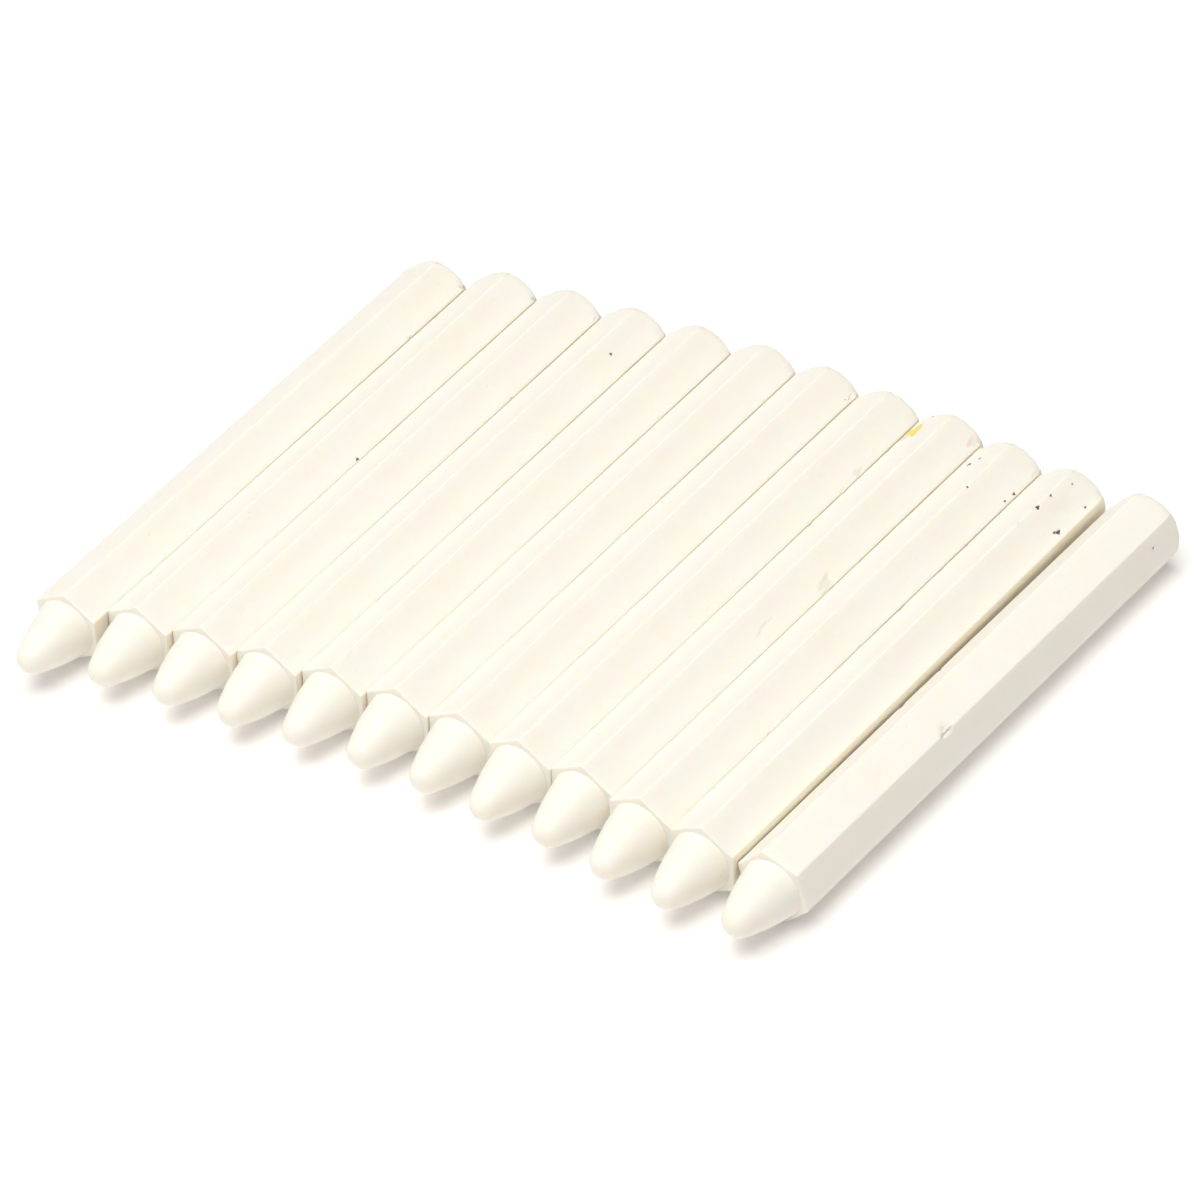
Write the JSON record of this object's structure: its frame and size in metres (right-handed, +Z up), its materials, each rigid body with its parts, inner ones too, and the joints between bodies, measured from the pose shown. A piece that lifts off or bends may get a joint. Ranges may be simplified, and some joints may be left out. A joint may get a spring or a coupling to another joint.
{
  "type": "blending stump set",
  "caption": "Row of solid hexagonal wax blending sticks with a bullet tip on a flat shoulder and a square-cut tail, lying loose side by side.",
  "frame": {"origin": "on the supporting surface, under the middle of the row's bounding box", "axes": "+Z up, +X across the row from the first stick to the last, sticks along Y with their tips towards -Y"},
  "size_m": [0.1524, 0.1298, 0.0137],
  "materials": {
    "ivory_wax": "waxy satin, cast"
  },
  "bodies": {
    "stick_01": {"stick_01": "ivory_wax"},
    "stick_02": {"stick_02": "ivory_wax"},
    "stick_03": {"stick_03": "ivory_wax"},
    "stick_04": {"stick_04": "ivory_wax"},
    "stick_05": {"stick_05": "ivory_wax"},
    "stick_06": {"stick_06": "ivory_wax"},
    "stick_07": {"stick_07": "ivory_wax"},
    "stick_08": {"stick_08": "ivory_wax"},
    "stick_09": {"stick_09": "ivory_wax"},
    "stick_10": {"stick_10": "ivory_wax"},
    "stick_11": {"stick_11": "ivory_wax"},
    "stick_12": {"stick_12": "ivory_wax"}
  },
  "joints": [
    {"name": "lift_02", "type": "slide", "parent": "stick_01", "child": "stick_02", "axis": [0.0349, 0, 0.9994], "range_m": [0, 0.03]},
    {"name": "lift_03", "type": "slide", "parent": "stick_01", "child": "stick_03", "axis": [0.0349, 0, 0.9994], "range_m": [0, 0.03]},
    {"name": "lift_04", "type": "slide", "parent": "stick_01", "child": "stick_04", "axis": [0.0349, 0, 0.9994], "range_m": [0, 0.03]},
    {"name": "lift_05", "type": "slide", "parent": "stick_01", "child": "stick_05", "axis": [0.0349, 0, 0.9994], "range_m": [0, 0.03]},
    {"name": "lift_06", "type": "slide", "parent": "stick_01", "child": "stick_06", "axis": [0.0349, 0, 0.9994], "range_m": [0, 0.03]},
    {"name": "lift_07", "type": "slide", "parent": "stick_01", "child": "stick_07", "axis": [0.0349, 0, 0.9994], "range_m": [0, 0.03]},
    {"name": "lift_08", "type": "slide", "parent": "stick_01", "child": "stick_08", "axis": [0.0349, 0, 0.9994], "range_m": [0, 0.03]},
    {"name": "lift_09", "type": "slide", "parent": "stick_01", "child": "stick_09", "axis": [0.0349, 0, 0.9994], "range_m": [0, 0.03]},
    {"name": "lift_10", "type": "slide", "parent": "stick_01", "child": "stick_10", "axis": [0.0349, 0, 0.9994], "range_m": [0, 0.03]},
    {"name": "lift_11", "type": "slide", "parent": "stick_01", "child": "stick_11", "axis": [0.0349, 0, 0.9994], "range_m": [0, 0.03]},
    {"name": "lift_12", "type": "slide", "parent": "stick_01", "child": "stick_12", "axis": [0.0349, 0, 0.9994], "range_m": [0, 0.03]}
  ]
}
